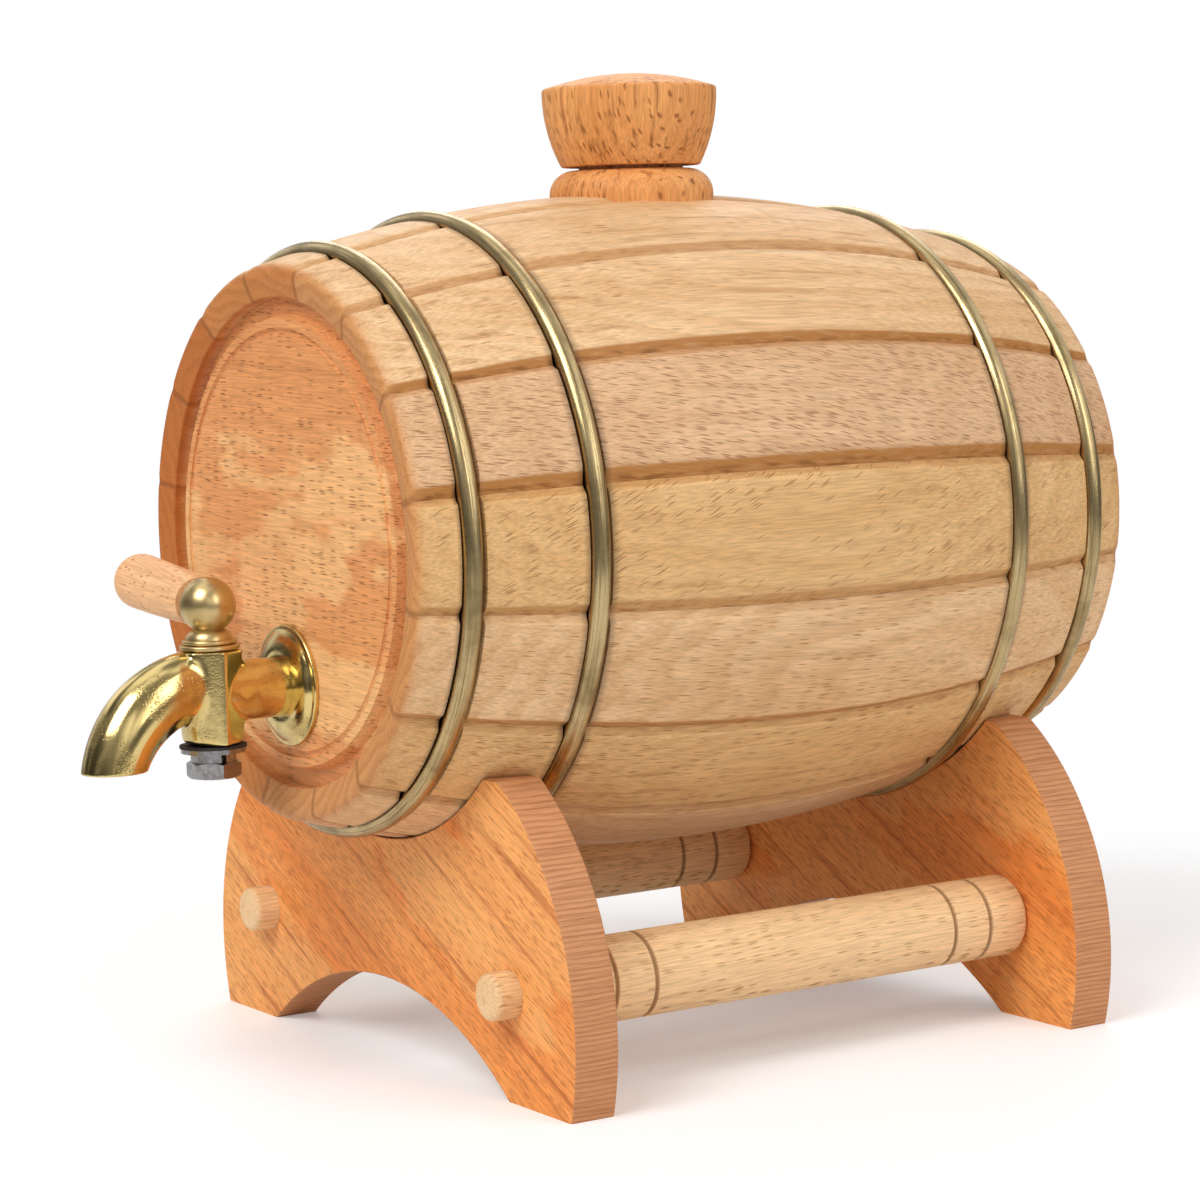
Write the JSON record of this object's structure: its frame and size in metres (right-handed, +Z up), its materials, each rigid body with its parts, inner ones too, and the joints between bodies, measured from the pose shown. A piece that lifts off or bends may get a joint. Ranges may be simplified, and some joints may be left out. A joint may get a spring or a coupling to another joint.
{
  "type": "cask liquor dispenser",
  "caption": "Small wooden cask lying on a two-plate cradle, with wire hoops, a bung on top and a plug tap with a curved spout in its front head.",
  "frame": {"origin": "on the floor, under the middle of the whole object's length and width", "axes": "+Z up, the cask lies along Y with its tapped head towards -Y, +X to the right seen from the tap"},
  "size_m": [0.169, 0.2542, 0.2344],
  "materials": {
    "stave_wood": "satin",
    "head_wood": "satin",
    "cradle_wood": "satin",
    "spreader_wood": "satin",
    "bung_wood": "satin",
    "handle_wood": "satin",
    "hoop_brass": "satin",
    "tap_brass": "polished",
    "zinc": "bright zinc",
    "gasket": "matt"
  },
  "bodies": {
    "cradle": {"cradle_plate_front": "cradle_wood", "cradle_plate_rear": "cradle_wood", "spreader_left": "spreader_wood", "spreader_right": "spreader_wood"},
    "cask": {"stave_01": "stave_wood", "stave_02": "stave_wood", "stave_03": "stave_wood", "stave_04": "stave_wood", "stave_05": "stave_wood", "stave_06": "stave_wood", "stave_07": "stave_wood", "stave_08": "stave_wood", "stave_09": "stave_wood", "stave_10": "stave_wood", "stave_11": "stave_wood", "stave_12": "stave_wood", "stave_13": "stave_wood", "stave_14": "stave_wood", "stave_15": "stave_wood", "stave_16": "stave_wood", "head_front": "head_wood", "head_rear": "head_wood", "hoop_front_outer": "hoop_brass", "hoop_front_inner": "hoop_brass", "hoop_rear_inner": "hoop_brass", "hoop_rear_outer": "hoop_brass", "bung_collar": "bung_wood", "tap_body": "tap_brass", "tap_rosette": "tap_brass"},
    "valve": {"tap_plug": "tap_brass", "tap_handle": "handle_wood", "tap_gasket": "gasket", "tap_flat_washer": "zinc", "tap_spring_washer": "zinc", "tap_nut": "zinc"},
    "bung": {"bung": "bung_wood"}
  },
  "joints": [
    {"name": "cask_lift", "type": "slide", "parent": "cradle", "child": "cask", "axis": [0, 0, 1], "range_m": [0, 0.1]},
    {"name": "tap_turn", "type": "hinge", "parent": "cask", "child": "valve", "pos_m": [0, -0.09462, 0.092], "axis": [0, 0, 1], "range_deg": [-15, 195]},
    {"name": "bung_lift", "type": "slide", "parent": "cask", "child": "bung", "axis": [0, 0, 1], "range_m": [0, 0.06]}
  ]
}
